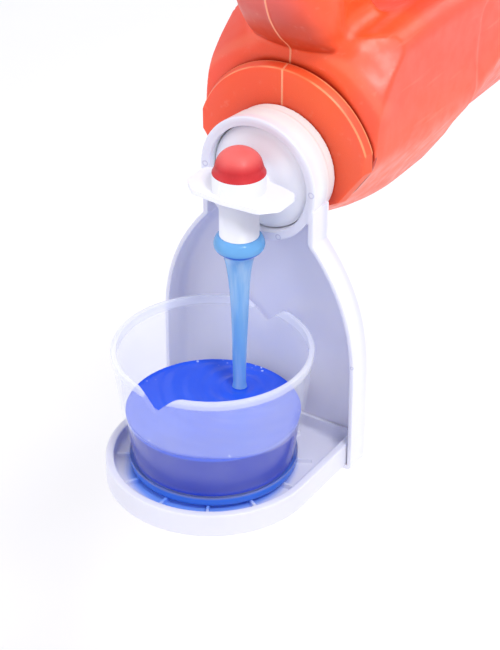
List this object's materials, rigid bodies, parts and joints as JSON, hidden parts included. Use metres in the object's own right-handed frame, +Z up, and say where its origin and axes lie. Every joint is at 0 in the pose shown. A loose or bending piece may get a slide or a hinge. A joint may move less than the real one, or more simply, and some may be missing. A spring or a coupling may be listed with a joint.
{
  "type": "detergent dispenser bottle",
  "caption": "Laundry detergent jug lying on its side with a press-button tap, a hanging drip catcher with a tray, and a measuring cup.",
  "frame": {"origin": "middle of the jug's flat underside, on the shelf surface", "axes": "+Z up, +Y from the tap towards the jug's base, +X to the right of someone facing the tap"},
  "size_m": [0.1, 0.355, 0.2506],
  "materials": {
    "jug_hdpe": "translucent blow-moulded polyethylene, semi-gloss",
    "detergent": "clear blue liquid",
    "foam_seal": "closed-cell foam",
    "white_pp": "moulded polypropylene, satin",
    "button_red": "elastomer, satin",
    "natural_pp": "natural polypropylene",
    "grey_rubber": "moulded elastomer",
    "black_rubber": "moulded elastomer",
    "clear_pe": "extruded polyethylene",
    "silicone": "silicone",
    "white_abs": "gloss injection moulding",
    "frosted_pp": "frosted translucent polypropylene"
  },
  "bodies": {
    "jug": {"jug": "jug_hdpe", "jug_detergent": "detergent"},
    "gasket": {"neck_gasket": "foam_seal"},
    "closure": {"tap_body": "white_pp", "button_skirt": "button_red", "stem_guide": "natural_pp", "stem_oring": "black_rubber", "vent_tube": "clear_pe", "vent_valve": "silicone"},
    "button": {"button_dome": "button_red", "button_insert": "natural_pp", "valve_stem": "natural_pp", "valve_plug": "grey_rubber"},
    "catcher": {"catcher_back": "white_abs"},
    "tray": {"drip_tray": "white_abs"},
    "cup": {"measuring_cup": "frosted_pp", "detergent_fill": "detergent"}
  },
  "joints": [
    {"name": "closure_advance", "type": "slide", "parent": "jug", "child": "gasket", "axis": [0, -1, 0], "range_m": [0, 0.00605]},
    {"name": "closure_turn", "type": "hinge", "parent": "gasket", "child": "closure", "pos_m": [0, -0.15, 0.045], "axis": [0, -1, 0], "range_deg": [0, 540]},
    {"name": "button_press", "type": "slide", "parent": "closure", "child": "button", "axis": [0, 0, -1], "range_m": [0, 0.004], "stiffness_N_per_m": 300, "springref_m": -0.006},
    {"name": "catcher_swing", "type": "hinge", "parent": "jug", "child": "catcher", "pos_m": [0, -0.15, 0.045], "axis": [0, 1, 0], "range_deg": [-15, 15]},
    {"name": "tray_pull", "type": "slide", "parent": "catcher", "child": "tray", "axis": [0, -1, 0], "range_m": [0, 0.02]},
    {"name": "cup_lift", "type": "slide", "parent": "tray", "child": "cup", "axis": [0, 0, 1], "range_m": [0, 0.03]}
  ],
  "couplings": [
    {"joint": "closure_advance", "follows": "closure_turn", "m_per_rad": 0.00063662}
  ]
}
